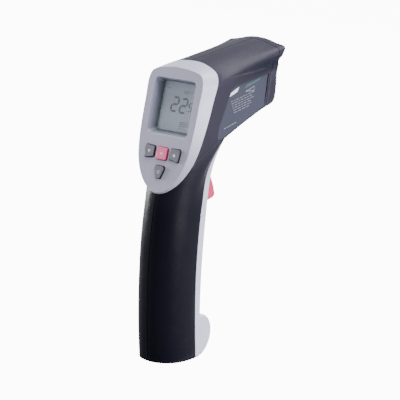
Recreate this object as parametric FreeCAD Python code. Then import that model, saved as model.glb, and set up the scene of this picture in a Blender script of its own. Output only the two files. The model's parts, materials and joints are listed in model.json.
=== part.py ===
import FreeCAD
import Part
import math
import os
from FreeCAD import Placement, Rotation, Vector

# Pistol-grip infrared thermometer, millimetres.
# Everything is drawn with the barrel level: +X right, +Y out of the nose, +Z up.
# The last step tips the nose up, so that the foot of the grip lies flat at Z = 0.

# Whole object
STAND_TILT = 12.0          # nose-up angle when the grip stands on its foot
STAND_SHIFT = 6.0          # foot centre, forward of the red key
FOOT_DROP = 0.8            # foot plane below the origin, under the red key
KEY_HEIGHT = 116.0         # red key above the origin
WALL = 2.0                 # moulded wall
BODY_GAP = 0.3             # gap between pieces that move apart

# Display face and bezel
FACE_TILT = 19.3           # face, from vertical
SEAM_TILT = 27.6           # bezel to housing seam, from vertical
SEAM_Y = 25.3              # seam at the shoulder height
SHOULDER_Z = 155.4
LCD_DEPTH = 5.8            # clear window below the face
WINDOW_HALF = 12.7
WINDOW_LOW = 9.3
WINDOW_HIGH = 39.4
BOARD_DEPTH = 11.4         # front of the circuit board below the face
BOARD_THICK = 1.6

# Keys
KEY_PITCH = 8.0
LOW_KEY_DROP = 9.7
KEY_PROUD = 1.1
KEY_TRAVEL = 0.9

# Barrel and nose
BARREL_TILT = 14.6         # sections of the barrel near the nose
NOSE_GAP = 0.5             # groove between the barrel and the nose ring
PARTING = 0.4              # width of the groove between the housing halves
LENS_Z = 136.5
LENS_R = 9.0
LASER_Z = 151.0
LASER_R = 3.0

# Grip, trigger and door
STRIP_HALF = 13.0          # half-width where the front strip meets the housing
DOOR_TOP = 78.5
DOOR_PIVOT_Y = 13.4
DOOR_PIVOT_Z = -1.45
DOOR_PIN_R = 0.9
BUMP_Y = 17.6
BUMP_Z = 6.8
BUMP_R = 12.5
BUMP_HALF = 11.3
TRIGGER_PIVOT_Y = 27.5
TRIGGER_PIVOT_Z = 104.0
TRIGGER_HALF = 6.0
PIN_R = 1.2
RUNNING_FIT = 0.05

# Battery: a 9 V block
BATTERY_X = 16.6
BATTERY_Y = 25.8
BATTERY_Z = 46.4

X_AXIS = Vector(1, 0, 0)
Y_AXIS = Vector(0, 1, 0)
Z_AXIS = Vector(0, 0, 1)
ORIGIN = Vector(0, 0, 0)
FACE = Placement(Vector(0, 0, KEY_HEIGHT), Rotation(X_AXIS, 90.0 - FACE_TILT))


def box(x0, x1, y0, y1, z0, z1):
    return Part.makeBox(x1 - x0, y1 - y0, z1 - z0, Vector(x0, y0, z0))


def rounded_box(x0, x1, y0, y1, z0, z1, radius):
    """Box with its four upright edges rounded."""
    solid = box(x0, x1, y0, y1, z0, z1)
    upright = [e for e in solid.Edges if abs(e.tangentAt(e.FirstParameter).z) > 0.9]
    return solid.makeFillet(radius, upright)


def cylinder(radius, start, end):
    axis = end.sub(start)
    return Part.makeCylinder(radius, axis.Length, start, axis)


def on_face(shape):
    """Move a shape from face coordinates (right, up the face, out) into the model."""
    moved = shape.copy()
    moved.Placement = FACE.multiply(moved.Placement)
    return moved


def closed_spline(points):
    curve = Part.BSplineCurve()
    curve.interpolate(Points=points, PeriodicFlag=True)
    return Part.Wire([curve.toShape()])


def open_spline(points):
    curve = Part.BSplineCurve()
    curve.interpolate(points)
    return curve.toShape()


def both_sides(half):
    """Close a half outline that starts and ends on the middle plane."""
    mirrored = [Vector(-p.x, p.y, p.z) for p in reversed(half[1:-1])]
    return half + mirrored


def inset(points, distance):
    """Move the points of a flat closed outline inwards."""
    count = len(points)
    centre = sum(points, Vector()).multiply(1.0 / count)
    normal = (points[0].sub(centre)).cross(points[count // 4].sub(centre))
    normal.normalize()
    moved = []
    for i, point in enumerate(points):
        along = points[(i + 1) % count].sub(points[i - 1])
        inward = normal.cross(along)
        inward.normalize()
        moved.append(point.add(inward.multiply(distance)))
    return moved


def shifted(points, offset):
    return [p.add(offset) for p in points]


def loft(outlines, ruled=False):
    return Part.makeLoft([closed_spline(o) for o in outlines], True, ruled)


def side_prism(outline, x0, x1):
    """Solid from a closed side outline of (y, z) pairs."""
    points = [Vector(x0, y, z) for y, z in outline]
    face = Part.Face(Part.makePolygon(points + points[:1]))
    return face.extrude(Vector(x1 - x0, 0, 0))


def curved_side_prism(curve, corners, x0, x1):
    """Side prism with one smooth edge through curve, closed by the corners."""
    smooth = [Vector(x0, y, z) for y, z in curve]
    ends = [smooth[-1]] + [Vector(x0, y, z) for y, z in corners] + [smooth[0]]
    wire = Part.Wire([open_spline(smooth)] + Part.makePolygon(ends).Edges)
    return Part.Face(wire).extrude(Vector(x1 - x0, 0, 0))


def half_space(y, z, tilt, ahead):
    """Large block ahead of, or behind, a plane that leans forward by tilt."""
    size = 400.0
    depth = size if ahead else -size
    block = box(-size, size, min(0.0, depth), max(0.0, depth), -size, size)
    block.rotate(ORIGIN, X_AXIS, -tilt)
    block.translate(Vector(0, y, z))
    return block


def stand(shape):
    """Tip the finished piece so that the foot lies on Z = 0."""
    moved = shape.copy()
    moved.rotate(ORIGIN, X_AXIS, STAND_TILT)
    lift = FOOT_DROP * math.cos(math.radians(STAND_TILT))
    moved.translate(Vector(0, -STAND_SHIFT, lift))
    return moved


def union(shapes):
    whole = shapes[0]
    for shape in shapes[1:]:
        whole = whole.fuse(shape)
    return whole.removeSplitter()


def largest(shape):
    return max(shape.Solids, key=lambda solid: solid.Volume)


# ---------------------------------------------------------------- outer form

def leaning(half, y, z, tilt):
    """Put (x, z) pairs on a plane that passes (y, z) and leans forward."""
    lean = math.tan(math.radians(tilt))
    return both_sides([Vector(px, y + (pz - z) * lean, pz) for px, pz in half])


def barrel_half(crest, shoulder, low, side, flare=0.0):
    """Half section of the barrel: crowned roof, shoulder, upright side, flat belly.

    A flare widens and lifts the shoulder, so that it overhangs the side.
    """
    return [
        (0.0, crest), (8.0, crest - 0.9), (13.2 + 0.4 * flare, crest - 3.0 + 0.25 * flare),
        (16.9 + flare, crest - 5.3 + 0.5 * flare), (side - 0.5 + 0.55 * flare, shoulder),
        (side, shoulder - 7.0), (side, 0.45 * shoulder + 0.55 * low),
        (side - 0.3, low + 8.0), (side - 1.4, low + 2.8), (15.0, low + 0.7),
        (8.5, low), (0.0, low),
    ]


SEAM_HALF = [
    (0.0, 160.1), (8.0, 159.4), (13.2, 157.7), (16.9, 155.7),
    (19.0, 152.6), (19.6, 145.5), (19.7, 135.0),
    (19.4, 124.0), (18.2, 114.6), (14.6, 105.8),
    (8.0, 98.6), (0.0, 95.6),
]
seam_outline = leaning(SEAM_HALF, SEAM_Y, SHOULDER_Z, SEAM_TILT)
barrel_outlines = [
    seam_outline,
    leaning(barrel_half(160.9, 153.6, 117.3, 19.5), 42.0, 140.0, 18.0),
    leaning(barrel_half(161.3, 153.6, 121.8, 19.3, 0.4), 62.0, 140.0, 16.0),
    leaning(barrel_half(161.5, 153.7, 124.6, 18.9, 1.2), 75.2, 126.0, BARREL_TILT),
    leaning(barrel_half(161.6, 154.2, 124.6, 17.8, 3.8), 97.2, 126.0, BARREL_TILT),
]
NOSE_SEAM = [(73.6, 114.0), (73.8, 120.0), (74.0, 126.0), (74.6, 133.0), (76.0, 141.0), (78.4, 147.5),
             (81.6, 151.2), (85.4, 154.2), (88.0, 157.6), (88.6, 162.0), (88.8, 168.0)]


SQUARENESS = 0.9           # below 1 squares up the round back of the grip


def grip_outline(z, back, front, half, strip_y):
    """Grip section: round back, flatter sides, broad rounded front."""
    middle = back + 19.5
    points = []
    for angle in (0, 24, 46, 68, 90):
        t = math.radians(angle)
        across = half * math.sin(t) ** SQUARENESS
        points.append(Vector(across, middle - 19.5 * max(math.cos(t), 0.0) ** SQUARENESS, z))
    points.append(Vector(STRIP_HALF, strip_y, z))
    points.append(Vector(11.9, 0.55 * front + 0.45 * strip_y, z))
    points.append(Vector(9.6, front - 1.5, z))
    points.append(Vector(6.0, front - 0.3, z))
    points.append(Vector(0.0, front, z))
    return both_sides(points)


grip_outlines = [
    grip_outline(-14.0, -15.2, 20.6, 13.2, 11.3),
    grip_outline(6.0, -15.9, 21.2, 13.3, 10.9),
    grip_outline(31.0, -15.9, 22.2, 13.3, 11.1),
    grip_outline(55.0, -14.2, 24.6, 13.3, 12.9),
    grip_outline(78.0, -10.8, 28.0, 13.3, 16.4),
    grip_outline(92.0, -7.2, 30.6, 13.6, 19.6),
    grip_outline(102.0, -3.4, 34.2, 14.9, 23.4),
    grip_outline(112.0, 2.6, 41.6, 17.4, 32.0),
    grip_outline(121.0, 10.0, 52.0, 19.0, 42.0),
]

foot_ahead = Placement(Vector(0, 0, -FOOT_DROP), Rotation(X_AXIS, -STAND_TILT))


def above_foot(lift):
    """Everything higher than the foot plane by lift."""
    block = box(-200, 200, -200, 200, lift, 400)
    block.Placement = foot_ahead
    return block


def ahead_of_seam(offset):
    """Everything ahead of the nose ring seam moved forward by offset."""
    curve = [(y + offset, z) for y, z in NOSE_SEAM]
    return curved_side_prism(curve, [(140.0, 168.0), (140.0, 114.0)], -40, 40)


barrel_whole = loft(barrel_outlines)
barrel_outer = barrel_whole.cut(ahead_of_seam(0.0))
grip_outer = loft(grip_outlines).common(above_foot(0.0))
body_outer = union([barrel_outer, grip_outer])

barrel_inset = [inset(o, WALL) for o in barrel_outlines]
barrel_inset[0] = shifted(barrel_inset[0], Vector(0, -0.4, 0.2))
barrel_hollow = loft(barrel_inset)
grip_hollow = loft([inset(o, WALL) for o in grip_outlines])
grip_hollow = grip_hollow.common(above_foot(WALL))
hollow = barrel_hollow.fuse(grip_hollow)

# Front zone of the grip: what is ahead of this line is strip, not housing.
STRIP_LINE = [
    (38.5, 114.8), (30.6, 109.4), (25.3, 104.8), (21.6, 99.0), (18.6, 88.2), (16.3, 78.7),
    (13.9, 65.0), (12.2, 52.2), (10.9, 31.3), (10.8, 5.7), (11.2, -14.0),
]
strip_zone = curved_side_prism(STRIP_LINE, [(80, -14), (80, 114.8)], -30, 30)

# ------------------------------------------------------------ housing halves

# Form half-way through the wall: inner walls and posts end there.
barrel_core = loft([inset(o, 0.5 * WALL) for o in barrel_outlines]).cut(ahead_of_seam(-0.5))
grip_core = loft([inset(o, 0.5 * WALL) for o in grip_outlines])
grip_core = grip_core.common(above_foot(0.5 * WALL))

# Cove under the shoulder, widening towards the nose.
COVE_START = Vector(19.9, 34.0, 152.4)
COVE_END = Vector(21.4, 98.0, 150.6)
cove_axis = COVE_END.sub(COVE_START)
cove = Part.makeCone(0.5, 3.6, cove_axis.Length, COVE_START, cove_axis)
LABEL_OUTLINE = [
    (36.6, 144.8), (39.4, 146.2), (75.9, 146.2), (71.9, 128.7),
    (31.4, 120.1), (25.6, 119.4), (23.4, 121.6), (24.4, 127.6),
]
LABEL_FLOOR = 18.2
label_pocket = side_prism(LABEL_OUTLINE, LABEL_FLOOR, 30)
pockets = [cove, label_pocket]
pockets += [p.mirror(ORIGIN, X_AXIS) for p in pockets]

# Inside the barrel: backs of the coves, bulkheads for the optics, screw posts.
BARREL_SCREWS = [(46.0, 126.5), (46.0, 153.4)]
GRIP_SCREWS = [(5.0, 65.0), (3.0, 88.0)]


def screw_post(y, z):
    return cylinder(2.9, Vector(-20, y, z), Vector(20, y, z))


cove_back = side_prism([(44, 156.4), (100, 158.0), (100, 145.0), (62, 147.0)], 14.6, 18.6)
barrel_inner = [cove_back, cove_back.mirror(ORIGIN, X_AXIS)]
for y0 in (61.7, 68.6):
    bulkhead = box(-25, 25, y0, y0 + 1.6, 110, 170)
    barrel_inner.append(bulkhead.cut(box(-12.6, 12.6, y0 - 1, y0 + 3, 126.6, 156.0)))
barrel_inner += [screw_post(y, z) for y, z in BARREL_SCREWS]
barrel_inner = union(barrel_inner).common(barrel_core)

# Inside the grip: battery rails, mechanism wall, switch shelf, posts for the trigger pin.
grip_inner = [box(-14, 14, 8.6, 10.2, 74, 97)]
for side in (1, -1):
    grip_inner.append(side_prism([(-7, 7), (8.0, 5), (8.0, 54), (-7, 54)], side * 8.7, side * 9.9))
    for y0 in (-5.0, 4.5):
        grip_inner.append(box(min(side * 8.8, side * 14.5), max(side * 8.8, side * 14.5),
                              y0, y0 + 1.4, 7, 53))
    grip_inner.append(box(min(side * 3.7, side * 14), max(side * 3.7, side * 14), 8.6, 15.6, 85.6, 86.8))
    grip_inner.append(cylinder(3.4, Vector(side * 6.4, TRIGGER_PIVOT_Y, TRIGGER_PIVOT_Z),
                               Vector(side * 15.5, TRIGGER_PIVOT_Y, TRIGGER_PIVOT_Z)))
grip_inner += [screw_post(y, z) for y, z in GRIP_SCREWS]
grip_inner = union(grip_inner).common(grip_core)

# Hinge ears for the battery door, inside its lower corners.
HINGE_SWEEP_R = 2.45
for side in (1, -1):
    x0, x1 = sorted((side * 6.4, side * 8.7))
    ear = cylinder(1.9, Vector(x0, DOOR_PIVOT_Y, DOOR_PIVOT_Z), Vector(x1, DOOR_PIVOT_Y, DOOR_PIVOT_Z))
    arm = [(DOOR_PIVOT_Y, DOOR_PIVOT_Z - 1.6), (DOOR_PIVOT_Y, DOOR_PIVOT_Z + 1.9),
           (9.0, 1.4), (3.0, 2.4), (3.0, 0.2), (9.5, -1.5)]
    grip_inner = grip_inner.fuse(ear.fuse(side_prism(arm, x0, x1)))

strip_block = grip_outer.common(strip_zone)
strip_guard = grip_outer.cut(loft([inset(o, WALL + 0.3) for o in grip_outlines])).common(strip_zone)
hinge_room = cylinder(HINGE_SWEEP_R + BODY_GAP, Vector(-30, DOOR_PIVOT_Y, DOOR_PIVOT_Z),
                      Vector(30, DOOR_PIVOT_Y, DOOR_PIVOT_Z))
parting = box(-0.5 * PARTING, 0.5 * PARTING, -100, 200, -50, 250).cut(barrel_core).cut(grip_core)
skin = body_outer.cut(hollow).cut(strip_block).cut(hinge_room).cut(parting)
shell = skin.fuse([barrel_inner.cut(strip_guard), grip_inner.cut(strip_guard)])
for pocket in pockets:
    shell = shell.cut(pocket)

# Room for the circuit board, the trigger pin and the door's hinge knuckles.
for half_width, low, high in ((15.4, 6.0, 42.4), (10.4, -17.0, 7.0)):
    board_room = box(-half_width, half_width, low, high, -BOARD_DEPTH - BOARD_THICK - 0.4, -7.0)
    shell = shell.cut(on_face(board_room))
shell = shell.cut(cylinder(PIN_R, Vector(-11.2, TRIGGER_PIVOT_Y, TRIGGER_PIVOT_Z),
                           Vector(11.2, TRIGGER_PIVOT_Y, TRIGGER_PIVOT_Z)))
shell = shell.cut(cylinder(DOOR_PIN_R, Vector(-9, DOOR_PIVOT_Y, DOOR_PIVOT_Z),
                           Vector(9, DOOR_PIVOT_Y, DOOR_PIVOT_Z)))


def screw(y, z):
    """Countersunk self-tapping screw, put in from the left side."""
    shank = cylinder(1.2, Vector(-17.0, y, z), Vector(3.0, y, z))
    head = Part.makeCone(2.5, 1.2, 1.4, Vector(-17.0, y, z), X_AXIS)
    cross = box(-18.0, -16.2, y - 0.35, y + 0.35, z - 1.4, z + 1.4)
    cross = cross.fuse(box(-18.0, -16.2, y - 1.4, y + 1.4, z - 0.35, z + 0.35))
    return shank.fuse(head).cut(cross)


SCREWS = BARREL_SCREWS + GRIP_SCREWS
HEAD_X = {}
for y, z in SCREWS:
    HEAD_X[(y, z)] = -16.8 if z > 110 else -11.7
    start = Vector(HEAD_X[(y, z)], y, z)
    shell = shell.cut(cylinder(1.25, start, start.add(Vector(20.3, 0, 0))))
    shell = shell.cut(cylinder(2.7, Vector(-30, y, z), start.add(Vector(1.4, 0, 0))))

right_housing = largest(shell.common(box(0, 60, -100, 200, -50, 250)))
left_housing = largest(shell.cut(box(0, 60, -100, 200, -50, 250)))


def screw_at(y, z):
    moved = screw(y, z)
    moved.translate(Vector(17.0 + HEAD_X[(y, z)], 0, 0))
    return moved


housing_screws = Part.makeCompound([screw_at(y, z) for y, z in SCREWS])

# ------------------------------------------------------------- display bezel

FACE_HALF = [
    (0.0, 158.9), (7.0, 158.4), (12.0, 157.5), (15.2, 156.1),
    (16.8, 152.9), (17.0, 145.5), (16.9, 135.0),
    (16.5, 124.5), (15.5, 115.6), (12.6, 106.6),
    (7.0, 99.6), (0.0, 96.5),
]
face_outline = leaning(FACE_HALF, 0.0, KEY_HEIGHT, FACE_TILT)
bezel_outer = loft([face_outline, seam_outline], True)
bezel_hollow = loft([inset(face_outline, WALL), inset(seam_outline, WALL)], True)
bezel_hollow = bezel_hollow.cut(on_face(box(-40, 40, -60, 80, -WALL, 40)))
bezel = bezel_outer.cut(bezel_hollow)


def face_loop(half, low, high, depth, radius):
    """Rounded rectangle on a plane below the face, in face coordinates."""
    plate = rounded_box(-half, half, low, high, depth, depth + 0.01, radius)
    bottom = [f for f in plate.Faces if abs(f.CenterOfMass.z - depth) < 1e-6][0]
    return bottom.OuterWire


recess = Part.makeLoft([
    face_loop(WINDOW_HALF + 0.25, WINDOW_LOW - 0.3, WINDOW_HIGH + 0.1, 0.5, 2.4),
    face_loop(10.2, 12.4, 38.2, -LCD_DEPTH, 1.4),
], True, True)
frame_wall = rounded_box(-WINDOW_HALF - 1.4, WINDOW_HALF + 1.4, 9.0, 41.0, -LCD_DEPTH, -WALL + 0.5, 2.0)
bezel = bezel.fuse(on_face(frame_wall).common(bezel_outer)).cut(on_face(recess))


def key_outline(kind, grow):
    """Key outline in face coordinates around its own centre, grown all round."""
    wide = 3.35 + grow
    tall = 3.3 + grow
    if kind == "centre":
        points = [(-wide, -tall), (wide, -tall), (wide, tall), (-wide, tall)]
    elif kind == "low":
        points = [(-1.5 - 0.6 * grow, -tall - 0.3), (1.5 + 0.6 * grow, -tall - 0.3),
                  (wide, tall - 1.4), (wide - 0.9, tall), (0.9 - wide, tall), (-wide, tall - 1.4)]
    else:
        points = [(-wide, -tall + 1.0), (wide - 0.6, -tall - 0.4), (wide, tall - 0.8),
                  (wide - 1.2, tall + 0.4), (-wide, tall)]
    if kind == "left":
        points = [(-u, v) for u, v in reversed(points)]
    return points


def key_prism(kind, centre, grow, low, high, radius):
    """Upright key body with rounded corners, in face coordinates."""
    u0, v0 = centre
    points = [Vector(u0 + u, v0 + v, low) for u, v in key_outline(kind, grow)]
    solid = Part.Face(Part.makePolygon(points + points[:1])).extrude(Vector(0, 0, high - low))
    upright = [e for e in solid.Edges if abs(e.tangentAt(e.FirstParameter).z) > 0.9]
    return solid.makeFillet(radius, upright)


KEYS = {
    "button_down": ("left", (-KEY_PITCH, 0.0)),
    "button_laser": ("centre", (0.0, 0.0)),
    "button_up": ("right", (KEY_PITCH, 0.0)),
    "button_mode": ("low", (0.0, -LOW_KEY_DROP)),
}


def key(kind, centre):
    """Key cap with a flange behind the bezel wall and a stem with a contact pill."""
    cap = key_prism(kind, centre, 0.0, -WALL - 0.4, KEY_PROUD, 1.0)
    top = [e for e in cap.Edges if abs(e.BoundBox.ZMin - KEY_PROUD) < 1e-4 and e.BoundBox.ZLength < 1e-4]
    cap = cap.makeFillet(0.5, top)
    flange = key_prism(kind, centre, 0.3, -WALL - 0.9, -WALL - 0.1, 1.0)
    stem = cylinder(1.9, Vector(centre[0], centre[1], -BOARD_DEPTH + KEY_TRAVEL + 0.15),
                    Vector(centre[0], centre[1], -WALL - 0.5))
    return on_face(cap.fuse(flange).fuse(stem).removeSplitter())


keys = {}
for name, (kind, centre) in KEYS.items():
    hole = key_prism(kind, centre, 0.25, -8.0, 4.0, 1.2)
    room = key_prism(kind, centre, 0.45, -8.0, -WALL + 0.1, 1.2)
    bezel = bezel.cut(on_face(hole)).cut(on_face(room))
    keys[name] = key(kind, centre)

# --------------------------------------------------------- display and board

display_window = on_face(rounded_box(-12.2, 12.2, 10.2, 40.2, -LCD_DEPTH - 1.0, -LCD_DEPTH, 1.5))
lcd_glass = on_face(box(-11.2, 11.2, 11.0, 39.4, -LCD_DEPTH - 3.0, -LCD_DEPTH - 1.1))
holder = rounded_box(-12.1, 12.1, 9.4, 41.0, -BOARD_DEPTH, -LCD_DEPTH - 1.1, 1.0)
holder = holder.cut(box(-11.3, 11.3, 10.9, 39.5, -BOARD_DEPTH - 1, 0))
lcd_holder = on_face(holder)
backlight = on_face(box(-10.6, 10.6, 14.2, 38.8, -BOARD_DEPTH, -LCD_DEPTH - 3.1))
contact_strip = on_face(box(-10.6, 10.6, 11.2, 13.6, -BOARD_DEPTH, -LCD_DEPTH - 3.0))

board_low = -BOARD_DEPTH - BOARD_THICK
board = rounded_box(-15.0, 15.0, 3.0, 42.0, board_low, -BOARD_DEPTH, 1.0)
board = board.fuse(rounded_box(-10.0, 10.0, -16.5, 6.0, board_low, -BOARD_DEPTH, 1.0)).removeSplitter()
BOARD_HOLES = [(-13.5, 6.0), (13.5, 6.0), (-13.5, 40.0), (13.5, 40.0)]
board_screws = []
for u, v in BOARD_HOLES:
    board = board.cut(cylinder(0.95, Vector(u, v, -20), Vector(u, v, 0)))
    shaft = cylinder(0.9, Vector(u, v, board_low - 3.0), Vector(u, v, -BOARD_DEPTH + 0.1))
    head = cylinder(1.3, Vector(u, v, -BOARD_DEPTH + 0.02), Vector(u, v, -BOARD_DEPTH + 1.0))
    slot = box(u - 0.2, u + 0.2, v - 2, v + 2, -BOARD_DEPTH + 0.6, -BOARD_DEPTH + 2)
    board_screws.append(on_face(shaft.fuse(head).cut(slot)))
board_screws = Part.makeCompound(board_screws)
main_board = on_face(board)

key_contacts = []
for kind, (u, v) in KEYS.values():
    pad = cylinder(2.4, Vector(u, v, -BOARD_DEPTH), Vector(u, v, -BOARD_DEPTH + 0.08))
    key_contacts.append(on_face(pad.cut(box(u - 0.15, u + 0.15, v - 3, v + 3, -13, 0))))
key_contacts = Part.makeCompound(key_contacts)

chips = [box(-5, 5, 20, 30, board_low - 1.4, board_low),
         box(-11, -6.4, 12, 17, board_low - 1.2, board_low),
         box(7.6, 9.4, 26, 29.2, board_low - 0.8, board_low),
         box(6.0, 10.0, 12, 17, board_low - 1.2, board_low)]
board_chips = Part.makeCompound([on_face(c) for c in chips])
buzzer = cylinder(4.4, Vector(0.0, 8.5, board_low - 3.0), Vector(0.0, 8.5, board_low))
buzzer = on_face(buzzer.cut(cylinder(0.8, Vector(0, 8.5, -30), Vector(0, 8.5, board_low - 2.2))))

# ------------------------------------------------------------------ nose ring

NOSE_EDGE = [(81.0, 114.0), (82.8, 121.0), (84.2, 128.4), (84.8, 134.0), (85.1, 140.0), (85.6, 145.0),
             (86.9, 148.6), (89.2, 152.0), (91.9, 155.2), (94.2, 158.4), (95.0, 162.5), (95.2, 168.0)]
NOSE_WALL = 1.8
FRONT_WALL = 3.0           # wall across the nose, ahead of the seam

nose_zone = curved_side_prism(NOSE_EDGE, [(60, 168.0), (60, 114.0)], -40, 40)
nose_back_limit = ahead_of_seam(NOSE_GAP)
nose_outer = barrel_whole.common(nose_zone).common(nose_back_limit)
nose_hollow = loft([inset(o, NOSE_WALL) for o in barrel_outlines[2:]])
nose = nose_outer.cut(nose_hollow.common(ahead_of_seam(FRONT_WALL + NOSE_WALL)))
nose = nose.cut(nose_hollow.cut(ahead_of_seam(FRONT_WALL)))
nose_core = loft([inset(o, 0.5 * NOSE_WALL) for o in barrel_outlines[2:]])
cove_rib = side_prism([(70, 145.0), (70, 157.0), (110, 157.0), (110, 145.0)], 14.6, 18.6)
rib_limit = nose_zone.copy()
rib_limit.translate(Vector(0, -0.4, 0))
cove_rib = cove_rib.common(nose_core).common(rib_limit).common(ahead_of_seam(NOSE_GAP + 0.2))
ring_outlines = [inset(o, WALL + 1.4) for o in barrel_outlines[1:]]
ring_inside = loft(ring_outlines)
tongue = loft([inset(o, WALL + 0.12) for o in barrel_outlines[1:]]).cut(ring_inside)
tongue = tongue.common(ahead_of_seam(-3.0)).cut(ahead_of_seam(NOSE_GAP + 1.0))
tongue = tongue.cut(side_prism([(40, 143.0), (40, 160.0), (110, 160.0), (110, 143.0)], -40, 40))
root = loft([inset(o, 0.5 * NOSE_WALL) for o in barrel_outlines[1:]]).cut(ring_inside)
root = root.common(ahead_of_seam(NOSE_GAP + 0.2)).cut(ahead_of_seam(FRONT_WALL + 0.5))
nose = nose.fuse([cove_rib, cove_rib.mirror(ORIGIN, X_AXIS), root, tongue])
nose = nose.cut(cove).cut(cove.mirror(ORIGIN, X_AXIS))
nose = nose.cut(cylinder(LENS_R + 0.1, Vector(0, 50, LENS_Z), Vector(0, 120, LENS_Z)))
nose = nose.cut(cylinder(LASER_R + 0.1, Vector(0, 50, LASER_Z), Vector(0, 120, LASER_Z)))
nose_ring = nose

# --------------------------------------------------------------------- optics

bracket = box(-12.2, 12.2, 63.4, 68.5, 127.0, 155.6)
bracket = bracket.cut(cylinder(LENS_R, Vector(0, 50, LENS_Z), Vector(0, 90, LENS_Z)))
optics_bracket = bracket.cut(cylinder(LASER_R, Vector(0, 50, LASER_Z), Vector(0, 90, LASER_Z)))
tube = cylinder(LENS_R, Vector(0, 55.0, LENS_Z), Vector(0, 83.8, LENS_Z))
tube = tube.cut(cylinder(7.6, Vector(0, 71.0, LENS_Z), Vector(0, 90, LENS_Z)))
tube = tube.cut(Part.makeCone(5.2, 6.8, 14.5, Vector(0, 56.5, LENS_Z), Y_AXIS))
lens_tube = tube.cut(cylinder(5.0, Vector(0, 50, LENS_Z), Vector(0, 57, LENS_Z)))
infrared_lens = cylinder(7.6, Vector(0, 71.0, LENS_Z), Vector(0, 72.2, LENS_Z))
dome = Part.makeSphere(16.0, Vector(0, 72.9 - 16.0, LENS_Z))
dome = dome.common(cylinder(6.6, Vector(0, 72.1, LENS_Z), Vector(0, 80, LENS_Z)))
infrared_lens = infrared_lens.fuse(dome).removeSplitter()
retainer = cylinder(7.6, Vector(0, 72.2, LENS_Z), Vector(0, 74.2, LENS_Z))
lens_retainer = retainer.cut(cylinder(6.7, Vector(0, 70, LENS_Z), Vector(0, 80, LENS_Z)))
can = cylinder(4.6, Vector(0, 52.2, LENS_Z), Vector(0, 56.4, LENS_Z))
can = can.fuse(cylinder(4.9, Vector(0, 52.2, LENS_Z), Vector(0, 52.8, LENS_Z)))
detector_can = can.cut(cylinder(1.6, Vector(0, 56.0, LENS_Z), Vector(0, 57, LENS_Z)))
sensor_board = cylinder(10.5, Vector(0, 50.6, LENS_Z), Vector(0, 52.2, LENS_Z))
sensor_board = sensor_board.common(box(-10.5, 10.5, 40, 60, 127.0, 150.0))
laser = cylinder(LASER_R, Vector(0, 61.0, LASER_Z), Vector(0, 87.6, LASER_Z))
laser_module = laser.cut(cylinder(2.1, Vector(0, 85.0, LASER_Z), Vector(0, 95, LASER_Z)))
laser_lens = cylinder(2.1, Vector(0, 85.0, LASER_Z), Vector(0, 86.2, LASER_Z))

RIBBON = [(25.5, 140.0), (36.0, 146.0), (44.0, 140.0), (50.5, 140.0)]
ribbon_curve = open_spline([Vector(-6, y, z) for y, z in RIBBON])
ribbon = ribbon_curve.extrude(Vector(12, 0, 0))
sensor_ribbon = ribbon.makeOffsetShape(0.25, 0.01, fill=True)

# ------------------------------------------------- front strip, trigger, door

strip_solid = grip_outer.cut(grip_hollow)
front_trim = strip_solid.common(strip_zone).common(box(-40, 40, -40, 90, DOOR_TOP + 0.15, 200))
slot = box(-TRIGGER_HALF - 0.4, TRIGGER_HALF + 0.4, 14, 70, DOOR_TOP + 1.7, 104.4)
front_trim = front_trim.cut(slot).cut(barrel_outer)
front_trim = front_trim.cut(cylinder(PIN_R + 0.02, Vector(-11.2, TRIGGER_PIVOT_Y, TRIGGER_PIVOT_Z),
                                     Vector(11.2, TRIGGER_PIVOT_Y, TRIGGER_PIVOT_Z)))

pivot = Vector(0, DOOR_PIVOT_Y, DOOR_PIVOT_Z)


def pivot_cylinder(radius, x0, x1):
    return cylinder(radius, pivot.add(Vector(x0, 0, 0)), pivot.add(Vector(x1, 0, 0)))


door_zone = strip_zone.copy()
door_zone.translate(Vector(0, BODY_GAP, 0))
door_heel = box(-40, 40, 0, DOOR_PIVOT_Y, -30, DOOR_PIVOT_Z).cut(pivot_cylinder(HINGE_SWEEP_R, -30, 30))
door_zone = door_zone.cut(door_heel).common(box(-40, 40, -40, 90, -40, DOOR_TOP - 0.15))
bump = cylinder(BUMP_R, Vector(-BUMP_HALF, BUMP_Y, BUMP_Z), Vector(BUMP_HALF, BUMP_Y, BUMP_Z))
bump = bump.makeFillet(1.4, [e for e in bump.Edges if isinstance(e.Curve, Part.Circle)])
bump_inside = cylinder(BUMP_R - WALL, Vector(WALL - BUMP_HALF, BUMP_Y, BUMP_Z),
                       Vector(BUMP_HALF - WALL, BUMP_Y, BUMP_Z))
door_solid = grip_outer.common(door_zone).fuse(bump.common(above_foot(0.0)).common(door_zone))
door_solid = door_solid.cut(grip_hollow).cut(bump_inside.common(above_foot(WALL)))
door_lugs = []
for side in (1, -1):
    x0, x1 = sorted((side * 9.0, side * 11.2))
    lug = pivot_cylinder(2.0, x0, x1)
    lug = lug.fuse(box(x0, x1, DOOR_PIVOT_Y, DOOR_PIVOT_Y + 7.0, -5.4, DOOR_PIVOT_Z + 2.0))
    door_lugs.append(lug.common(above_foot(0.1)))
door_rib = box(-6.5, 6.5, 16.0, 30.0, 73.0, 75.0).common(grip_core).cut(box(-20, 20, 0, 21.0, 0, 200))
door_solid = door_solid.fuse(door_lugs + [door_rib])
for x0, x1 in ((-9.0, -6.1), (6.1, 9.0)):
    door_solid = door_solid.cut(box(x0, x1, 6.0, 15.7, -8.0, 1.2))
battery_door = door_solid.cut(pivot_cylinder(DOOR_PIN_R + RUNNING_FIT, -11.4, 11.4)).removeSplitter()
door_pins = Part.makeCompound([pivot_cylinder(DOOR_PIN_R, s * 6.6, s * 11.0) for s in (1, -1)])

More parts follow.
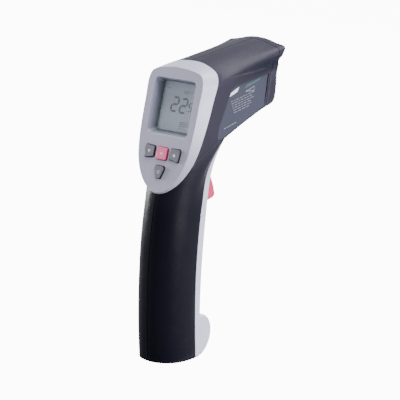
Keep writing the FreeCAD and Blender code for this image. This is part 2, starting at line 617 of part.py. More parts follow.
trigger_pivot = Vector(0, TRIGGER_PIVOT_Y, TRIGGER_PIVOT_Z)
TRIGGER_FRONT = [(31.6, 104.0), (35.0, 99.6), (38.0, 94.4), (40.3, 89.4), (41.7, 84.8)]
TRIGGER_REST = [(40.9, 82.6), (38.6, 81.7), (24.6, 81.2), (23.7, 82.4), (23.7, 96.0), (25.0, 103.0)]
trigger = curved_side_prism(TRIGGER_FRONT, TRIGGER_REST, -TRIGGER_HALF, TRIGGER_HALF)
side_edges = [e for e in trigger.Edges if abs(abs(e.CenterOfMass.x) - TRIGGER_HALF) < 1e-6]
trigger = trigger.makeFillet(1.6, [e for e in side_edges
                                   if e.CenterOfMass.y > 34 and e.BoundBox.ZLength > 10])
boss = cylinder(3.4, Vector(-TRIGGER_HALF, TRIGGER_PIVOT_Y, TRIGGER_PIVOT_Z),
                Vector(TRIGGER_HALF, TRIGGER_PIVOT_Y, TRIGGER_PIVOT_Z))
trigger = trigger.fuse(boss)
trigger = trigger.cut(cylinder(PIN_R + RUNNING_FIT, Vector(-9, TRIGGER_PIVOT_Y, TRIGGER_PIVOT_Z),
                               Vector(9, TRIGGER_PIVOT_Y, TRIGGER_PIVOT_Z))).removeSplitter()
trigger_pin = cylinder(PIN_R, Vector(-11.0, TRIGGER_PIVOT_Y, TRIGGER_PIVOT_Z),
                       Vector(11.0, TRIGGER_PIVOT_Y, TRIGGER_PIVOT_Z))

SPRING_Z = 79.0
SWITCH_Z = 90.0
spring_helix = Part.makeHelix(2.2, 12.6, 2.0)
spring_wire = Part.Wire(Part.makeCircle(0.3, Vector(2.0, 0, 0), Y_AXIS))
trigger_spring = Part.Wire(spring_helix.Edges).makePipeShell([spring_wire], True, True)
trigger_spring.rotate(ORIGIN, X_AXIS, -90)
trigger_spring.translate(Vector(0, 10.5, 84.2))
switch_case = box(-3.2, 3.2, 10.3, 17.0, SWITCH_Z - 3.1, SWITCH_Z + 3.2)
trigger_switch = switch_case.cut(cylinder(1.3, Vector(0, 12.0, SWITCH_Z), Vector(0, 18, SWITCH_Z)))
switch_plunger = cylinder(1.2, Vector(0, 14.4, SWITCH_Z), Vector(0, 23.4, SWITCH_Z))

# -------------------------------------------------------------------- battery

BATTERY_BACK = -7.2
BATTERY_LOW = 6.6
battery_top = BATTERY_LOW + BATTERY_Z
half_battery = 0.5 * BATTERY_X
battery = rounded_box(-half_battery, half_battery, BATTERY_BACK, BATTERY_BACK + BATTERY_Y,
                      BATTERY_LOW, battery_top, 1.6)
TERMINALS = [BATTERY_BACK + 6.5, BATTERY_BACK + BATTERY_Y - 6.5]
snap = rounded_box(-7.4, 7.4, BATTERY_BACK + 0.6, BATTERY_BACK + BATTERY_Y - 0.6,
                   battery_top + 0.05, battery_top + 4.2, 3.0)
for y in TERMINALS:
    battery = battery.fuse(cylinder(2.8, Vector(0, y, battery_top), Vector(0, y, battery_top + 2.3)))
    snap = snap.cut(cylinder(2.85, Vector(0, y, battery_top - 1), Vector(0, y, battery_top + 2.4)))
battery_snap = snap
battery_pad = side_prism([(-7.5, 3.2), (8.0, -0.1), (8.0, 6.5), (-7.5, 6.5)], -6.1, 6.1)

LEAD_START = battery_top + 4.3


def lead(x):
    route = [Vector(x, -3.0, LEAD_START), Vector(x, -4.6, 72.0), Vector(x, -3.6, 84.0),
             Vector(x, -1.6, 91.0), Vector(x, 2.8, 95.6)]
    spine = Part.Wire([open_spline(route)])
    start = Part.Wire(Part.makeCircle(0.6, route[0], spine.Edges[0].tangentAt(spine.Edges[0].FirstParameter)))
    return spine.makePipeShell([start], True, True)


battery_leads = Part.makeCompound([lead(-4.5), lead(4.5)])

# --------------------------------------------------------------- label films

film_outline = [Vector(LABEL_FLOOR, y, z) for y, z in LABEL_OUTLINE]
film = Part.Face(Part.makePolygon(film_outline + film_outline[:1]))
label_right = film.extrude(Vector(0.3, 0, 0))
label_left = label_right.mirror(ORIGIN, X_AXIS)

# -------------------------------------------------------------------- export

nodes = {
    "right_housing": right_housing, "left_housing": left_housing, "housing_screws": housing_screws,
    "display_bezel": bezel, "display_window": display_window, "lcd_glass": lcd_glass,
    "lcd_holder": lcd_holder, "backlight": backlight, "contact_strip": contact_strip,
    "main_board": main_board, "board_screws": board_screws, "board_chips": board_chips,
    "key_contacts": key_contacts, "buzzer": buzzer, "nose_ring": nose_ring,
    "optics_bracket": optics_bracket, "lens_tube": lens_tube, "infrared_lens": infrared_lens,
    "lens_retainer": lens_retainer, "detector_can": detector_can, "sensor_board": sensor_board,
    "laser_module": laser_module, "laser_lens": laser_lens, "sensor_ribbon": sensor_ribbon,
    "front_trim": front_trim, "battery_door": battery_door, "door_pins": door_pins,
    "trigger": trigger, "trigger_pin": trigger_pin, "trigger_spring": trigger_spring,
    "trigger_switch": trigger_switch, "switch_plunger": switch_plunger, "battery": battery,
    "battery_snap": battery_snap, "battery_leads": battery_leads, "battery_pad": battery_pad,
    "label_right": label_right, "label_left": label_left,
}
nodes.update(keys)

os.makedirs("parts", exist_ok=True)
for name, shape in nodes.items():
    stand(shape).exportStep("parts/" + name + ".step")
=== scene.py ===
import json
import math
import bmesh
import bpy
from mathutils import Matrix, Vector


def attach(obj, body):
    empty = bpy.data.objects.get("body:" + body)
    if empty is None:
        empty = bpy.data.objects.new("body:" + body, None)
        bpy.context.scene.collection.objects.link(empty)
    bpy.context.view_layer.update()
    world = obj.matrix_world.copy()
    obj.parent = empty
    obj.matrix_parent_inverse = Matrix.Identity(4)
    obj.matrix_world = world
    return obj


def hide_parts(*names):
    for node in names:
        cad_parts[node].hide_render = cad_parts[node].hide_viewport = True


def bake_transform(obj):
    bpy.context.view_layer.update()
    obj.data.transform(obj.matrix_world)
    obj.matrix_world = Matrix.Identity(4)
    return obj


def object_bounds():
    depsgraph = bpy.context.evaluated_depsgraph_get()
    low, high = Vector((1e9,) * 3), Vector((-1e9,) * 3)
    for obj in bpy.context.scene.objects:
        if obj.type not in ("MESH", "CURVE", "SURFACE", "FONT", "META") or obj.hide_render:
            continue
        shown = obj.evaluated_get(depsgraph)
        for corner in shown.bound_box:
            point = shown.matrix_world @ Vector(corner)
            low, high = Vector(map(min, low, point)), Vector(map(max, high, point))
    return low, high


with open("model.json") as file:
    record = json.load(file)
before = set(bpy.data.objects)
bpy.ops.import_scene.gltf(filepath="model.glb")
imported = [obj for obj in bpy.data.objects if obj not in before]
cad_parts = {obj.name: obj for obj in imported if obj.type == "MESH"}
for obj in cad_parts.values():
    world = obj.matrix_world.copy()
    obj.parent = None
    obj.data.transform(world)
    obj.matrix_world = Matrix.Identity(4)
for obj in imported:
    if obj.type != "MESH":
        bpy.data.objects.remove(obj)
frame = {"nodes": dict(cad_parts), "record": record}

cad_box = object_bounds()

# The instrument is described with its barrel level, in millimetres, with the red key
# 116 mm above the origin. It stands nose-up on the foot of its grip.
STAND_TILT = math.radians(12.0)
STAND_SHIFT = 6.0
FOOT_LIFT = 0.8 * math.cos(STAND_TILT)
KEY_HEIGHT = 116.0
FACE_TILT = math.radians(19.3)
MM = 0.001
LCD_LEVEL = -6.83          # printed segments, between the clear window and the glass
GLINT_LEVEL = -5.78         # painted glint, a light line along the window's edge
KEY_TOP = 1.1              # key tops above the display face
LABEL_X = 18.52            # outer face of the side labels
ROOT = "instrument"
RIGHT_SIDE, LEFT_SIDE = 1, -1

TO_STAND = (Matrix.Translation(Vector((0.0, -STAND_SHIFT, FOOT_LIFT)) * MM)
            @ Matrix.Rotation(STAND_TILT, 4, "X") @ Matrix.Scale(MM, 4))
FACE = (TO_STAND @ Matrix.Translation((0.0, 0.0, KEY_HEIGHT))
        @ Matrix.Rotation(math.radians(90.0) - FACE_TILT, 4, "X"))


def side_matrix(side):
    """Label coordinates (forward, up, out) on RIGHT_SIDE or LEFT_SIDE."""
    axes = Matrix(((0, 0, side, side * LABEL_X), (1, 0, 0, 0), (0, 1, 0, 0), (0, 0, 0, 1)))
    return TO_STAND @ axes


def add_object(name, data):
    made = bpy.data.objects.new(name, data)
    bpy.context.scene.collection.objects.link(made)
    return made


# ------------------------------------------------------------------ materials

MIX_FACTOR, MIX_FIRST, MIX_SECOND = 0, 6, 7      # inputs of a Mix node set to colour
MIX_RESULT = 2
NOISE_LOW, NOISE_HIGH = 0.3, 0.7                 # the range that a noise texture mostly covers
BROAD_SCALE, SMEAR_SCALE = 38.0, 120.0           # mottling and uneven gloss, per metre
COAT_ROUGHNESS = 0.12
GRAIN_DEPTH = 0.00012                            # metres
EDGE_START, EDGE_FULL = 0.53, 0.62               # Pointiness where wear starts and is full


def node(tree, kind, x=0, y=0, **values):
    """A new shader node at (x, y) in the editor, with the given inputs or settings."""
    made = tree.nodes.new(kind)
    made.location = (x, y)
    for name, value in values.items():
        if name in made.inputs:
            made.inputs[name].default_value = value
        else:
            setattr(made, name, value)
    return made


def ramp(tree, source, stops, x, y):
    """A colour ramp over a factor socket, with stops of (place, colour)."""
    made = node(tree, "ShaderNodeValToRGB", x, y)
    elements = made.color_ramp.elements
    while len(elements) < len(stops):
        elements.new(0.5)
    for element, (place, colour) in zip(elements, stops):
        element.position = place
        element.color = (*colour, 1.0)
    tree.links.new(source, made.inputs["Fac"])
    return made.outputs["Color"]


def mottled(tree, noise, colour, mottle, x, y):
    """The colour, a little darker and lighter by a noise."""
    dark = [c * (1.0 - mottle) for c in colour]
    light = [min(1.0, c * (1.0 + mottle)) for c in colour]
    return ramp(tree, noise, [(NOISE_LOW, dark), (NOISE_HIGH, light)], x, y)


def remap(tree, source, start, full, x, y, **values):
    """0 to 1 between two values of a socket, unless To Min and To Max are given."""
    made = node(tree, "ShaderNodeMapRange", x, y, **{"From Min": start, "From Max": full}, **values)
    tree.links.new(source, made.inputs["Value"])
    return made.outputs["Result"]


def mixed(tree, factor, first, second, x, y):
    """From the first colour socket to the second, a socket or a plain colour, by a factor."""
    made = node(tree, "ShaderNodeMix", x, y, data_type="RGBA")
    tree.links.new(factor, made.inputs[MIX_FACTOR])
    tree.links.new(first, made.inputs[MIX_FIRST])
    if isinstance(second, bpy.types.NodeSocket):
        tree.links.new(second, made.inputs[MIX_SECOND])
    else:
        made.inputs[MIX_SECOND].default_value = (*second, 1.0)
    return made.outputs[MIX_RESULT]


def moulded(name, colour, rough=0.4, grain=0.35, grain_scale=2600.0, mottle=0.06, coat=0.0,
            specular=0.5, wear=0.0, wear_colour=None, alpha=1.0, metallic=0.0, scratch=0.15,
            painted_shade_colour=None, low=None, high=None):
    """Moulded plastic, rubber or metal: fine grain, faint mottling, uneven gloss, worn edges.

    With a painted shade colour, the colour changes smoothly to it from height high down to low, in
    metres.
    """
    material = bpy.data.materials.new(name)
    material.use_nodes = True
    tree = material.node_tree
    links = tree.links
    shader = tree.nodes["Principled BSDF"]
    shader.inputs["Specular IOR Level"].default_value = specular
    shader.inputs["Coat Weight"].default_value = coat
    shader.inputs["Coat Roughness"].default_value = COAT_ROUGHNESS
    shader.inputs["Metallic"].default_value = metallic
    shader.inputs["Alpha"].default_value = alpha
    place = node(tree, "ShaderNodeTexCoord", -1400, 0).outputs["Object"]

    broad = node(tree, "ShaderNodeTexNoise", -1100, 300, Scale=BROAD_SCALE, Detail=5.0,
                 Roughness=0.6)
    fine = node(tree, "ShaderNodeTexNoise", -1100, 0, Scale=grain_scale, Detail=2.0)
    smear = node(tree, "ShaderNodeTexNoise", -1100, -300, Scale=SMEAR_SCALE, Detail=6.0,
                 Roughness=0.65)
    for texture in (broad, fine, smear):
        links.new(place, texture.inputs["Vector"])
    base = mottled(tree, broad.outputs["Fac"], colour, mottle, -800, 300)
    if painted_shade_colour:
        height = node(tree, "ShaderNodeSeparateXYZ", -1100, 850)
        links.new(place, height.inputs[0])
        share = remap(tree, height.outputs["Z"], low, high, -800, 850,
                      interpolation_type="SMOOTHSTEP")
        lower = mottled(tree, broad.outputs["Fac"], painted_shade_colour, mottle, -800, 550)
        base = mixed(tree, share, lower, base, -500, 550)
    if wear > 0.0:
        geometry = node(tree, "ShaderNodeNewGeometry", -1100, 600)
        edge = ramp(tree, geometry.outputs["Pointiness"],
                    [(EDGE_START, (0, 0, 0)), (EDGE_FULL, (wear, wear, wear))], -800, 600)
        base = mixed(tree, edge, base, wear_colour, -450, 400)
    links.new(base, shader.inputs["Base Color"])

    gloss = {"To Min": max(0.02, rough - scratch * rough),
             "To Max": min(1.0, rough + scratch * rough)}
    spread = remap(tree, smear.outputs["Fac"], NOISE_LOW, NOISE_HIGH, -800, -300, **gloss)
    links.new(spread, shader.inputs["Roughness"])

    bump = node(tree, "ShaderNodeBump", -450, -100, Strength=grain, Distance=GRAIN_DEPTH)
    links.new(fine.outputs["Fac"], bump.inputs["Height"])
    links.new(bump.outputs["Normal"], shader.inputs["Normal"])
    return material


MATERIALS = {
    # Painted shade: the housing's colour darkens towards the bottom of the grip.
    "housing_slate": moulded("housing_slate", (0.023, 0.0205, 0.033), rough=0.34, grain=0.30,
                             wear=0.12, wear_colour=(0.08, 0.08, 0.11), specular=0.09,
                             painted_shade_colour=(0.0024, 0.0023, 0.0066), low=0.080, high=0.130),
    "bezel_grey": moulded("bezel_grey", (0.385, 0.383, 0.50), rough=0.40, grain=0.22, mottle=0.03,
                          wear=0.10, wear_colour=(0.5, 0.5, 0.56)),
    "trim_grey": moulded("trim_grey", (0.44, 0.445, 0.555), rough=0.40, grain=0.22, mottle=0.03,
                         wear=0.10, wear_colour=(0.6, 0.6, 0.66)),
    "key_dark": moulded("key_dark", (0.010, 0.010, 0.014), rough=0.50, grain=0.5, wear=0.1,
                        wear_colour=(0.10, 0.10, 0.13)),
    "signal_red": moulded("signal_red", (0.46, 0.015, 0.085), rough=0.36, grain=0.2, mottle=0.05,
                          wear=0.15, wear_colour=(0.85, 0.3, 0.4)),
    "nose_dark": moulded("nose_dark", (0.020, 0.018, 0.030), rough=0.34, grain=0.3, wear=0.3,
                         wear_colour=(0.08, 0.08, 0.11), specular=0.09),
    "black_plastic": moulded("black_plastic", (0.012, 0.012, 0.014), rough=0.5, grain=0.4),
    "clear_window": moulded("clear_window", (0.9, 0.93, 0.95), rough=0.06, grain=0.0, alpha=0.08,
                            scratch=0.5),
    "lcd_grey": moulded("lcd_grey", (0.47, 0.53, 0.61), rough=0.38, grain=0.08, mottle=0.02),
    "guide_white": moulded("guide_white", (0.75, 0.75, 0.72), rough=0.45),
    "contact_rubber": moulded("contact_rubber", (0.05, 0.05, 0.05), rough=0.7),
    "board_green": moulded("board_green", (0.015, 0.10, 0.045), rough=0.35, mottle=0.15),
    "chip_black": moulded("chip_black", (0.015, 0.015, 0.015), rough=0.6),
    "contact_gold": moulded("contact_gold", (0.75, 0.55, 0.22), rough=0.3, metallic=1.0),
    "steel": moulded("steel", (0.13, 0.13, 0.142), rough=0.55, metallic=1.0, scratch=0.4),
    "can_steel": moulded("can_steel", (0.62, 0.60, 0.55), rough=0.28, metallic=1.0, scratch=0.4),
    "infrared_plastic": moulded("infrared_plastic", (0.42, 0.42, 0.39), rough=0.25, grain=0.1),
    "laser_brass": moulded("laser_brass", (0.62, 0.45, 0.18), rough=0.3, metallic=1.0, scratch=0.4),
    "laser_glass": moulded("laser_glass", (0.30, 0.02, 0.03), rough=0.05, grain=0.0, coat=0.6),
    "ribbon_white": moulded("ribbon_white", (0.7, 0.7, 0.7), rough=0.4),
    "label_film": moulded("label_film", (0.033, 0.035, 0.055), rough=0.46, grain=0.12, mottle=0.05,
                          specular=0.15),
    "battery_shell": moulded("battery_shell", (0.03, 0.035, 0.05), rough=0.25, coat=0.4),
    "lead_red": moulded("lead_red", (0.25, 0.02, 0.02), rough=0.45),
    "pad_foam": moulded("pad_foam", (0.04, 0.04, 0.04), rough=0.95, grain=1.0, grain_scale=1500.0),
}


def tint_zone(material, colour, axes, limits):
    """Blend in a colour where every limit holds, in the millimetres of the given axes.

    Each limit is an axis (None for the distance from the plane of symmetry), where the colour
    starts and where it is full.
    """
    tree = material.node_tree
    links = tree.links
    shader = tree.nodes["Principled BSDF"]
    place = node(tree, "ShaderNodeTexCoord", -1400, 1300).outputs["Object"]
    origin = axes @ Vector((0.0, 0.0, 0.0))
    total = None
    for axis, start, full in limits:
        if axis is None:
            split = node(tree, "ShaderNodeSeparateXYZ", -1200, 1500)
            links.new(place, split.inputs[0])
            across = node(tree, "ShaderNodeMath", -1000, 1500, operation="ABSOLUTE")
            links.new(split.outputs["X"], across.inputs[0])
            value, base = across.outputs[0], 0.0
        else:
            way = (axes.to_3x3() @ Vector(axis)).normalized()
            part = node(tree, "ShaderNodeVectorMath", -1000, 1300, operation="DOT_PRODUCT")
            links.new(place, part.inputs[0])
            part.inputs[1].default_value = way
            value, base = part.outputs["Value"], way.dot(origin)
        share = remap(tree, value, base + start * MM, base + full * MM, -800, 1300)
        if total is None:
            total = share
            continue
        product = node(tree, "ShaderNodeMath", -600, 1300, operation="MULTIPLY")
        links.new(total, product.inputs[0])
        links.new(share, product.inputs[1])
        total = product.outputs[0]
    before = shader.inputs["Base Color"].links[0].from_socket
    links.new(mixed(tree, total, before, colour, -200, 500), shader.inputs["Base Color"])


# Painted shade: the walls of the display recess darken with depth, the key caps have paler tops
# above sides left near-black as shade, and the hollow under the roof's shoulder is a dark band
# that deepens towards the nose.
FORWARD, UPWARD = (0.0, 1.0, 0.0), (0.0, 0.0, 1.0)
tint_zone(MATERIALS["bezel_grey"], (0.075, 0.098, 0.115), FACE,
          [(None, 13.6, 13.2), (UPWARD, -0.4, -5.0), (FORWARD, 8.6, 9.2), (FORWARD, 41.4, 40.8)])
# Painted shade on the keys: paler tops over darker sides, the dark sides standing for the shade in
# the gaps around them.
tint_zone(MATERIALS["key_dark"], (0.150, 0.144, 0.186), FACE, [(UPWARD, 0.96, 1.07)])
tint_zone(MATERIALS["signal_red"], (0.88, 0.155, 0.33), FACE, [(UPWARD, 0.90, 1.07)])
# Painted shade: a dark band on the housing and nose under the roof's shoulder, where the surface
# faces down.
for slot in ("housing_slate", "nose_dark"):
    tint_zone(MATERIALS[slot], (0.0065, 0.0075, 0.0165), TO_STAND,
              [(None, 16.6, 17.6), (UPWARD, 145.8, 149.0), (UPWARD, 155.6, 153.6),
               (FORWARD, 36.0, 72.0)])

slots = {s["node"]: s["material_slot"] for s in frame["record"]["subparts"]}
for name, shape in frame["nodes"].items():
    shape.data.materials.clear()
    shape.data.materials.append(MATERIALS[slots[name]])

INK = {
    "white": moulded("ink_white", (0.62, 0.62, 0.70), rough=0.5, grain=0.1, mottle=0.05),
    "grey": moulded("ink_grey", (0.17, 0.17, 0.21), rough=0.5, grain=0.1, mottle=0.10),
    "teal": moulded("ink_teal", (0.012, 0.066, 0.074), rough=0.4, grain=0.1, mottle=0.15),
    "segment": moulded("ink_segment", (0.11, 0.12, 0.15), rough=0.5, grain=0.0, mottle=0.04),
    "faint": moulded("ink_faint", (0.30, 0.33, 0.38), rough=0.5, grain=0.0, mottle=0.04),
    "key_white": moulded("ink_key_white", (0.85, 0.85, 0.88), rough=0.5, grain=0.1, mottle=0.04),
    "key_pink": moulded("ink_key_pink", (0.95, 0.62, 0.70), rough=0.5, grain=0.1, mottle=0.04),
}


# ---------------------------------------------------------------- thin prints

PRINT_THICKNESS = 0.02
DISC_SIDES = 28
DIGIT_LEAN = 0.10          # sideways shift of a digit per millimetre of height


def finish_mesh(name, work):
    """The object of a finished bmesh, with its faces turned outward."""
    bmesh.ops.recalc_face_normals(work, faces=work.faces)
    mesh = bpy.data.meshes.new(name)
    work.to_mesh(mesh)
    work.free()
    return add_object(name, mesh)


def prints(name, body, material, matrix, outlines):
    """Thin printed shapes, each a flat outline in local millimetres, as one piece."""
    work = bmesh.new()
    for outline in outlines:
        low = [work.verts.new(matrix @ Vector((u, v, 0.0))) for u, v in outline]
        high = [work.verts.new(matrix @ Vector((u, v, PRINT_THICKNESS))) for u, v in outline]
        work.faces.new(low[::-1])
        work.faces.new(high)
        for i in range(len(outline)):
            j = (i + 1) % len(outline)
            work.faces.new((low[i], low[j], high[j], high[i]))
    piece = finish_mesh(name, work)
    piece.data.materials.append(INK[material])
    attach(piece, body)


def around(radius, angle):
    return radius * math.cos(angle), radius * math.sin(angle)


def bar(u0, v0, u1, v1, width):
    """A straight stroke with cut corners between two points."""
    along = Vector((u1 - u0, v1 - v0)).normalized()
    across = Vector((-along.y, along.x)) * (0.5 * width)
    tip = along * (0.5 * width)
    a, b = Vector((u0, v0)), Vector((u1, v1))
    outline = [a - tip, a + across, b + across, b + tip, b - across, a - across]
    return [tuple(p) for p in outline[::-1]]


SEGMENTS = {
    "a": ((0, 2), (1, 2)), "b": ((1, 2), (1, 1)), "c": ((1, 1), (1, 0)), "d": ((0, 0), (1, 0)),
    "e": ((0, 0), (0, 1)), "f": ((0, 1), (0, 2)), "g": ((0, 1), (1, 1)),
}


def digit(lit, u, v, wide, tall, stroke):
    """Strokes of a seven-segment digit with its lower left corner at (u, v)."""
    shapes = []
    for key in lit:
        (x0, y0), (x1, y1) = SEGMENTS[key]
        p = Vector((x0 * wide, y0 * tall / 2.0))
        q = Vector((x1 * wide, y1 * tall / 2.0))
        gap = (q - p).normalized() * (0.62 * stroke)
        p, q = p + gap, q - gap
        shapes.append(bar(u + p.x + DIGIT_LEAN * p.y, v + p.y,
                          u + q.x + DIGIT_LEAN * q.y, v + q.y, stroke))
    return shapes


# Shapes on the display face are in millimetres across and up it, from the red key.
LCD = FACE @ Matrix.Translation((0.0, 0.0, LCD_LEVEL))
WINDOW_GLINT = FACE @ Matrix.Translation((0.0, 0.0, GLINT_LEVEL))
large = digit("abged", -4.6, 22.9, 3.7, 7.3, 1.1) + digit("abged", 0.9, 22.7, 3.7, 7.3, 1.1)
small = digit("afgcd", 6.2, 23.9, 1.9, 4.3, 0.75) + [bar(5.35, 23.9, 5.4, 23.95, 0.55)]
prints("lcd_digits", ROOT, "segment", LCD, large + small)
# A painted glint: a thin light strip along the window's edge stands in for a reflection.
prints("window_glint", ROOT, "white", WINDOW_GLINT, [bar(8.1, 13.2, 8.1, 37.4, 0.25)])
marks = [bar(2.0, 33.7, 5.6, 33.7, 0.7), bar(2.6, 32.8, 4.4, 32.8, 0.4),
         bar(6.9, 32.9, 6.9, 34.4, 0.5), bar(-8.4, 34.6, -6.9, 34.6, 0.5)]
block = [bar(2.7, 17.6, 7.6, 17.6, 0.7), bar(2.7, 16.6, 7.6, 16.6, 0.7),
         bar(2.3, 15.6, 7.6, 15.6, 0.7), bar(2.3, 14.2, 4.9, 14.2, 0.45),
         bar(5.8, 14.2, 7.6, 14.2, 0.45)]
prints("lcd_marks", ROOT, "faint", LCD, marks + block)

# Key signs: triangles, a disc with eight rays and two bars
DISC_RADIUS, RAY_START, RAY_END = 0.7, 1.35, 1.75
KEY = FACE @ Matrix.Translation((0.0, 0.0, KEY_TOP))
prints("sign_up", "key_up", "key_white", KEY, [[(7.0, -0.5), (8.9, -0.5), (7.95, 1.0)]])
prints("sign_down", "key_down", "key_white", KEY, [[(-8.8, 0.8), (-7.9, -0.7), (-7.0, 0.8)]])
disc = [around(DISC_RADIUS, 2.0 * math.pi * i / DISC_SIDES) for i in range(DISC_SIDES)]
rays = [bar(*around(RAY_START, t), *around(RAY_END, t), 0.18)
        for t in (i * math.pi / 4.0 for i in range(8))]
prints("sign_laser", "key_laser", "key_pink", KEY, [disc] + rays)
prints("sign_mode", "key_mode", "key_white", KEY,
       [bar(-0.8, -9.3, 0.8, -9.3, 0.22), bar(-0.8, -10.3, 0.8, -10.3, 0.22)])

# Side labels: a plain slanted badge, a tinted bar, an aiming cone and short rows, none of it text.
BADGE = [(35.6, 141.2), (43.6, 142.4), (45.4, 144.8), (41.2, 144.0), (37.2, 143.0)]
TINT = [(50.6, 142.6), (66.4, 144.3), (68.4, 145.5), (52.8, 144.3)]
ROW_START, ROW_END, ROW_TOP = 37.4, 59.5, 138.2
ROW_COUNT, ROW_PITCH, ROW_RISE = 6, 1.35, 0.04
for side, tag in ((RIGHT_SIDE, "right"), (LEFT_SIDE, "left")):
    label = side_matrix(side)
    rows = []
    for i in range(ROW_COUNT):
        level = ROW_TOP - ROW_PITCH * i
        place = ROW_START + 0.6 * i
        while place < ROW_END - 0.7 * i:
            run = 1.2 + 0.6 * ((3 * i + int(place)) % 4)
            rise = ROW_RISE * (place - ROW_START)
            rows.append(bar(place, level + rise, place + run, level + rise + ROW_RISE * run, 0.32))
            place += run + 1.1
    cone = [bar(54.0, 140.9, 61.0, 142.0, 0.34), bar(54.0, 140.7, 61.0, 139.4, 0.34),
            bar(61.0, 139.4, 61.0, 142.0, 0.3), bar(52.6, 140.8, 53.8, 140.8, 0.8)]
    foot = [bar(30.4 + 2.6 * i, 124.9 + 0.2 * i, 32.2 + 2.6 * i, 125.0 + 0.2 * i, 0.4)
            for i in range(5)]
    prints("label_badge_" + tag, ROOT, "white", label, [BADGE])
    prints("label_marks_" + tag, ROOT, "grey", label, rows + cone + foot)
    prints("label_tint_" + tag, ROOT, "teal", label, [TINT])

# ------------------------------------------------------------- trigger spring

STEPS_PER_TURN = 24
WIRE_SIDES = 10


def coil_spring(name, foot, radius, wire, pitch, length):
    """Compression spring that runs forward from its foot, in the instrument's millimetres."""
    work = bmesh.new()
    rings = []
    count = round(STEPS_PER_TURN * length / pitch)
    angles = [2.0 * math.pi * k / WIRE_SIDES for k in range(WIRE_SIDES)]
    for i in range(count + 1):
        rise = length * i / count
        t = 2.0 * math.pi * rise / pitch
        outward = Vector((math.cos(t), 0.0, -math.sin(t)))
        along = Vector((-math.sin(t), pitch / (2.0 * math.pi * radius), -math.cos(t))).normalized()
        across = along.cross(outward)
        centre = Vector(foot) + outward * radius + Vector((0.0, rise, 0.0))
        ring = [centre + (outward * math.cos(a) + across * math.sin(a)) * wire for a in angles]
        rings.append([work.verts.new(TO_STAND @ point) for point in ring])
    for low, high in zip(rings, rings[1:]):
        for k in range(WIRE_SIDES):
            j = (k + 1) % WIRE_SIDES
            work.faces.new((low[k], low[j], high[j], high[k]))
    work.faces.new(rings[0][::-1])
    work.faces.new(rings[-1])
    for face in work.faces:
        face.smooth = len(face.verts) == 4
    return finish_mesh(name, work)


# A coil spring in place of the hidden trigger spring: its foot is on the housing and it runs
# forward towards the trigger.
spring = coil_spring("spring_coil", (0.0, 10.5, 84.2), radius=2.0, wire=0.3, pitch=2.2, length=12.6)
spring.data.materials.append(MATERIALS["steel"])
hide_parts("trigger_spring")
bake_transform(spring)

# ------------------------------------------------------------ floor and light

FLOOR_HALF = 60.0
FLOOR_GAP = 0.0002         # keeps the floor just clear of the foot
SEEN_WHITE = 11.5          # strength of the white that the camera sees
LAMP_TARGET = Vector((0.0, 0.01, 0.10))


def seen_by_camera(tree, usual, shown, output):
    """The camera sees one shader. Every other ray meets the usual one."""
    path = node(tree, "ShaderNodeLightPath", -300, 300)
    choice = node(tree, "ShaderNodeMixShader", 300, 0)
    tree.links.new(path.outputs["Is Camera Ray"], choice.inputs[0])
    tree.links.new(usual.outputs[0], choice.inputs[1])
    tree.links.new(shown.outputs[0], choice.inputs[2])
    tree.links.new(choice.outputs[0], tree.nodes[output].inputs["Surface"])


floor_mesh = bpy.data.meshes.new("floor")
corners = [(x * FLOOR_HALF, y * FLOOR_HALF, 0.0) for x, y in ((-1, -1), (1, -1), (1, 1), (-1, 1))]
floor_mesh.from_pydata(corners, [], [(0, 1, 2, 3)])
floor = add_object("floor", floor_mesh)
floor.location.z = cad_box[0][2] - FLOOR_GAP
floor_white = bpy.data.materials.new("floor_white")
floor_white.use_nodes = True
paper = floor_white.node_tree
shown = paper.nodes["Principled BSDF"]
shown.inputs["Base Color"].default_value = (0.12, 0.12, 0.12, 1.0)
shown.inputs["Roughness"].default_value = 0.9
shown.inputs["Specular IOR Level"].default_value = 0.1
shown.inputs["Emission Color"].default_value = (1.0, 1.0, 1.0, 1.0)
shown.inputs["Emission Strength"].default_value = SEEN_WHITE
bounce = node(paper, "ShaderNodeBsdfDiffuse", 0, -400, Color=(0.20, 0.20, 0.21, 1.0))
seen_by_camera(paper, bounce, shown, "Material Output")
floor_mesh.materials.append(floor_white)

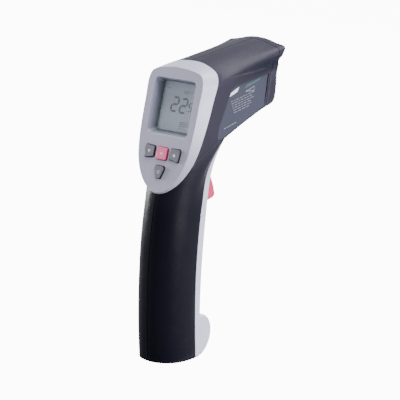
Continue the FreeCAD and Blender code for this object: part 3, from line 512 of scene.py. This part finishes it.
world = bpy.data.worlds.new("studio")
world.use_nodes = True
sky = world.node_tree
ambient = sky.nodes["Background"]
ambient.inputs["Color"].default_value = (0.93, 0.95, 1.0, 1.0)
ambient.inputs["Strength"].default_value = 0.62
backdrop = node(sky, "ShaderNodeBackground", 0, -200, Color=(1.0, 1.0, 1.0, 1.0),
                Strength=SEEN_WHITE)
seen_by_camera(sky, ambient, backdrop, "World Output")
bpy.context.scene.world = world


def lamp(name, kind, place, energy, colour=(1.0, 1.0, 1.0), size=None):
    """A lamp aimed at LAMP_TARGET. An area lamp is a rectangle of the given width and height."""
    light = bpy.data.lights.new(name, kind)
    light.energy = energy
    light.color = colour
    if size:
        light.shape = "RECTANGLE"
        light.size, light.size_y = size
    holder = add_object(name, light)
    holder.location = place
    holder.rotation_euler = (LAMP_TARGET - Vector(place)).to_track_quat("-Z", "Y").to_euler()
    return light


overhead = lamp("overhead", "SUN", (0.30, 0.20, 1.0), 7.0)
overhead.angle = math.radians(70.0)
lamp("right_soft", "AREA", (0.75, 0.10, 0.55), 3.4, (0.97, 0.98, 1.0), size=(0.35, 0.6))
# Two low lamps light the edges of the dark grip.
RIM_SIZE = (0.7, 0.30)
lamp("left_rim", "AREA", (-1.0, -0.05, 0.20), 32.0, size=RIM_SIZE)
lamp("right_rim", "AREA", (1.05, 0.34, 0.20), 18.5, size=RIM_SIZE)

# --------------------------------------------------------------------- camera

# Fitted to the photograph with the barrel level, then tilted with the instrument.
CAMERA_AT = Vector((346.17, -487.63, 299.66))
CAMERA_TURN = math.radians(33.5)
CAMERA_ELEVATION = math.radians(19.3)
SENSOR_WIDTH, FOCAL_LENGTH = 36.0, 108.0
back = Vector((math.sin(CAMERA_TURN) * math.cos(CAMERA_ELEVATION),
               -math.cos(CAMERA_TURN) * math.cos(CAMERA_ELEVATION), math.sin(CAMERA_ELEVATION)))
right = Vector((math.cos(CAMERA_TURN), math.sin(CAMERA_TURN), 0.0))
up = back.cross(right)
turn = Matrix.Rotation(STAND_TILT, 3, "X") @ Matrix((right, up, back)).transposed()
lens = bpy.data.cameras.new("camera")
lens.sensor_width = SENSOR_WIDTH
lens.lens = FOCAL_LENGTH
lens.clip_start = 0.01
camera = add_object("camera", lens)
camera.matrix_world = Matrix.Translation(TO_STAND @ CAMERA_AT) @ turn.to_4x4()
bpy.context.scene.camera = camera
